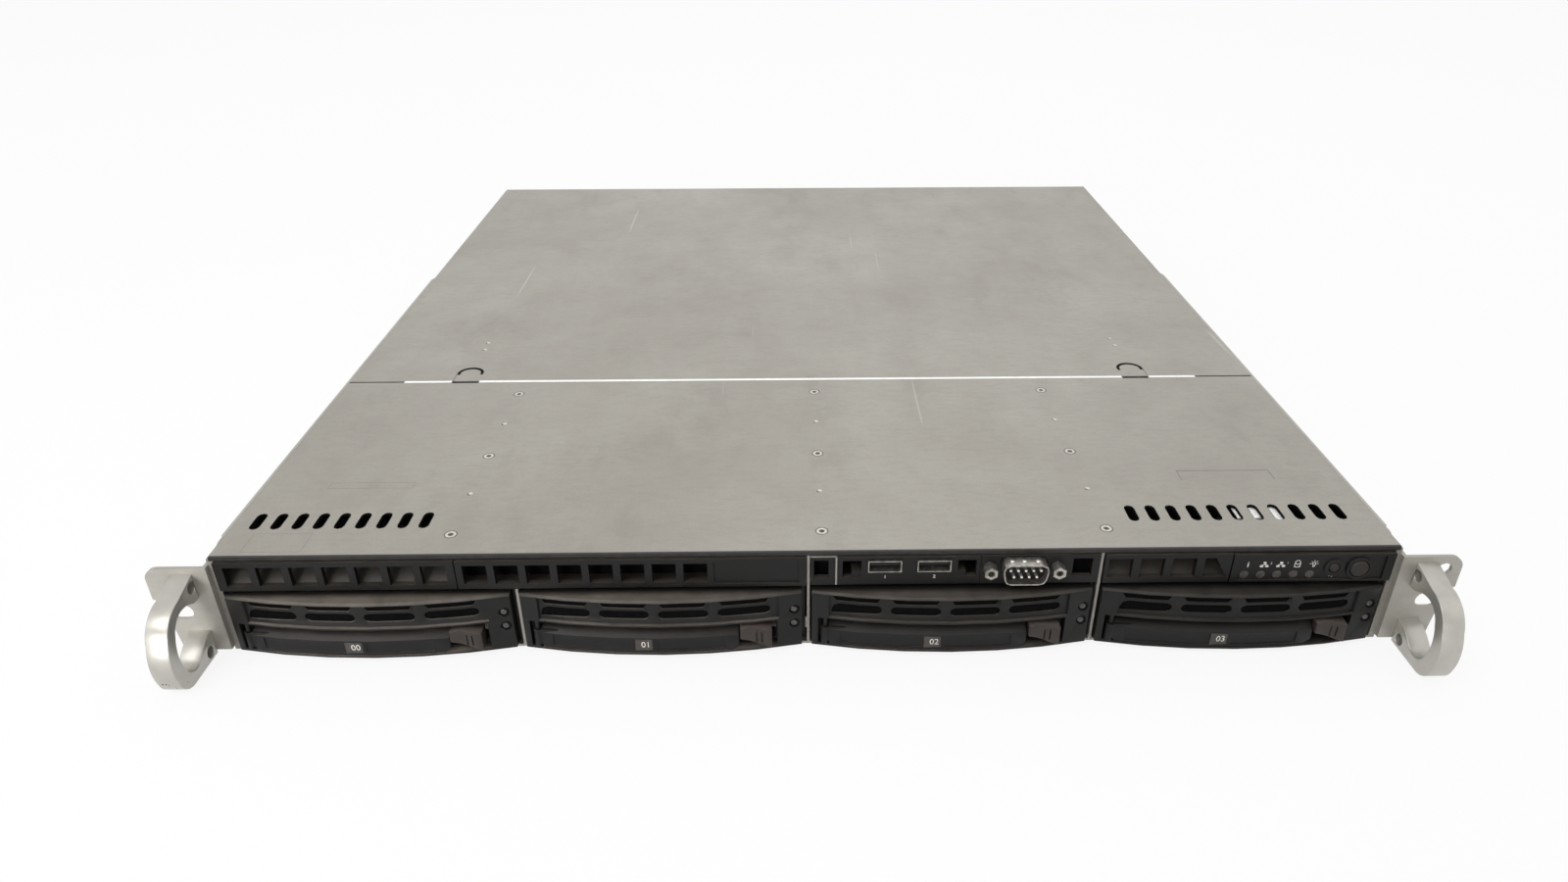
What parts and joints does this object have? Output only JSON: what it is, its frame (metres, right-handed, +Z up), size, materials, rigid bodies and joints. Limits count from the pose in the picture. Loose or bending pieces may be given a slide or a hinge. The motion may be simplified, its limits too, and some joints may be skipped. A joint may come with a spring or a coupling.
{
  "type": "rack server",
  "caption": "One-unit rack-mount server with hot-swap drive carriers, a vented front with ports and controls, pull handles and a sliding top cover.",
  "frame": {"origin": "centre of the bounding box at the base of the chassis floor", "axes": "+X to the right seen from the front, +Y towards the rear, +Z up"},
  "size_m": [0.4826, 0.505, 0.043],
  "materials": {
    "sheet_steel": "zinc-plated sheet, matt",
    "cover_steel": "zinc-plated sheet with handling marks",
    "black_trim": "black, satin",
    "black_plastic": "fine texture, satin",
    "button_plastic": "warm dark grey, satin",
    "light_lens": "smoked, unlit",
    "connector_metal": "nickel plate",
    "handle_alloy": "satin, bead-blasted",
    "ear_steel": "zinc plate",
    "drive_alloy": "cast and pressed, satin",
    "carrier_frame": "dark, satin",
    "circuit_board": "solder mask green",
    "heatsink_alloy": "extruded, bare",
    "fan_plastic": "black",
    "screw_steel": "zinc plate"
  },
  "bodies": {
    "chassis": {"chassis_tray": "sheet_steel", "front_top_panel": "cover_steel", "front_top_trim": "black_trim", "drive_cage": "sheet_steel", "left_vent_bezel": "black_plastic", "slim_bay_blank": "black_plastic", "port_bezel": "black_plastic", "usb_panel": "black_plastic", "front_ports": "connector_metal", "right_vent_bezel": "black_plastic", "control_panel": "black_plastic", "indicator_lights": "light_lens", "rack_ear_left": "ear_steel", "rack_ear_right": "ear_steel", "handle_left": "handle_alloy", "handle_right": "handle_alloy", "side_rail_left": "sheet_steel", "side_rail_right": "sheet_steel", "drive_backplane": "circuit_board", "fan_housing_1": "fan_plastic", "fan_housing_2": "fan_plastic", "fan_housing_3": "fan_plastic", "motherboard": "circuit_board", "processor_heatsink": "heatsink_alloy", "memory_modules": "circuit_board", "io_shield": "sheet_steel", "io_ports": "connector_metal", "expansion_cover": "sheet_steel", "power_supply": "sheet_steel", "power_inlet": "fan_plastic", "screws": "screw_steel"},
    "cover": {"top_cover": "cover_steel"},
    "latch_left": {"cover_latch_left": "cover_steel"},
    "latch_right": {"cover_latch_right": "cover_steel"},
    "power_key": {"power_button": "button_plastic"},
    "reset_key": {"reset_button": "button_plastic"},
    "supply_rotor": {"supply_impeller": "fan_plastic"},
    "carrier_0": {"carrier_tray_0": "carrier_frame", "carrier_bezel_0": "black_plastic", "hard_drive_0": "drive_alloy"},
    "lever_0": {"carrier_lever_0": "black_plastic"},
    "release_0": {"carrier_button_0": "button_plastic"},
    "carrier_1": {"carrier_tray_1": "carrier_frame", "carrier_bezel_1": "black_plastic", "hard_drive_1": "drive_alloy"},
    "lever_1": {"carrier_lever_1": "black_plastic"},
    "release_1": {"carrier_button_1": "button_plastic"},
    "carrier_2": {"carrier_tray_2": "carrier_frame", "carrier_bezel_2": "black_plastic", "hard_drive_2": "drive_alloy"},
    "lever_2": {"carrier_lever_2": "black_plastic"},
    "release_2": {"carrier_button_2": "button_plastic"},
    "carrier_3": {"carrier_tray_3": "carrier_frame", "carrier_bezel_3": "black_plastic", "hard_drive_3": "drive_alloy"},
    "lever_3": {"carrier_lever_3": "black_plastic"},
    "release_3": {"carrier_button_3": "button_plastic"},
    "rotor_1": {"fan_impeller_1": "fan_plastic"},
    "rotor_2": {"fan_impeller_2": "fan_plastic"},
    "rotor_3": {"fan_impeller_3": "fan_plastic"}
  },
  "joints": [
    {"name": "cover_slide", "type": "slide", "parent": "chassis", "child": "cover", "axis": [0, 1, 0], "range_m": [0, 0.013]},
    {"name": "latch_left_press", "type": "hinge", "parent": "cover", "child": "latch_left", "pos_m": [-0.162, -0.0325, 0.0415], "axis": [1, 0, 0], "range_deg": [0, 2.9], "stiffness_Nm_per_rad": 4.4},
    {"name": "latch_right_press", "type": "hinge", "parent": "cover", "child": "latch_right", "pos_m": [0.161, -0.0325, 0.0415], "axis": [1, 0, 0], "range_deg": [0, 2.9], "stiffness_Nm_per_rad": 4.4},
    {"name": "carrier_0_slide", "type": "slide", "parent": "chassis", "child": "carrier_0", "axis": [0, -1, 0], "range_m": [0, 0.15]},
    {"name": "lever_0_swing", "type": "hinge", "parent": "carrier_0", "child": "lever_0", "pos_m": [-0.2096, -0.2264, 0.007], "axis": [0, 0, -1], "range_deg": [0, 50]},
    {"name": "release_0_press", "type": "slide", "parent": "carrier_0", "child": "release_0", "axis": [0, 1, 0], "range_m": [0, 0.0025], "stiffness_N_per_m": 500},
    {"name": "carrier_1_slide", "type": "slide", "parent": "chassis", "child": "carrier_1", "axis": [0, -1, 0], "range_m": [0, 0.15]},
    {"name": "lever_1_swing", "type": "hinge", "parent": "carrier_1", "child": "lever_1", "pos_m": [-0.1016, -0.2264, 0.007], "axis": [0, 0, -1], "range_deg": [0, 50]},
    {"name": "release_1_press", "type": "slide", "parent": "carrier_1", "child": "release_1", "axis": [0, 1, 0], "range_m": [0, 0.0025], "stiffness_N_per_m": 500},
    {"name": "carrier_2_slide", "type": "slide", "parent": "chassis", "child": "carrier_2", "axis": [0, -1, 0], "range_m": [0, 0.15]},
    {"name": "lever_2_swing", "type": "hinge", "parent": "carrier_2", "child": "lever_2", "pos_m": [0.0064, -0.2264, 0.007], "axis": [0, 0, -1], "range_deg": [0, 50]},
    {"name": "release_2_press", "type": "slide", "parent": "carrier_2", "child": "release_2", "axis": [0, 1, 0], "range_m": [0, 0.0025], "stiffness_N_per_m": 500},
    {"name": "carrier_3_slide", "type": "slide", "parent": "chassis", "child": "carrier_3", "axis": [0, -1, 0], "range_m": [0, 0.15]},
    {"name": "lever_3_swing", "type": "hinge", "parent": "carrier_3", "child": "lever_3", "pos_m": [0.1144, -0.2264, 0.007], "axis": [0, 0, -1], "range_deg": [0, 50]},
    {"name": "release_3_press", "type": "slide", "parent": "carrier_3", "child": "release_3", "axis": [0, 1, 0], "range_m": [0, 0.0025], "stiffness_N_per_m": 500},
    {"name": "power_press", "type": "slide", "parent": "chassis", "child": "power_key", "axis": [0, 1, 0], "range_m": [0, 0.0012], "stiffness_N_per_m": 600},
    {"name": "reset_press", "type": "slide", "parent": "chassis", "child": "reset_key", "axis": [0, 1, 0], "range_m": [0, 0.001], "stiffness_N_per_m": 600},
    {"name": "fan_1_spin", "type": "hinge", "parent": "chassis", "child": "rotor_1", "pos_m": [-0.132, -0.0305, 0.021], "axis": [0, 1, 0], "continuous": true},
    {"name": "fan_2_spin", "type": "hinge", "parent": "chassis", "child": "rotor_2", "pos_m": [-0.044, -0.0305, 0.021], "axis": [0, 1, 0], "continuous": true},
    {"name": "fan_3_spin", "type": "hinge", "parent": "chassis", "child": "rotor_3", "pos_m": [0.044, -0.0305, 0.021], "axis": [0, 1, 0], "continuous": true},
    {"name": "supply_fan_spin", "type": "hinge", "parent": "chassis", "child": "supply_rotor", "pos_m": [0.19, 0.2305, 0.021], "axis": [0, 1, 0], "continuous": true}
  ]
}
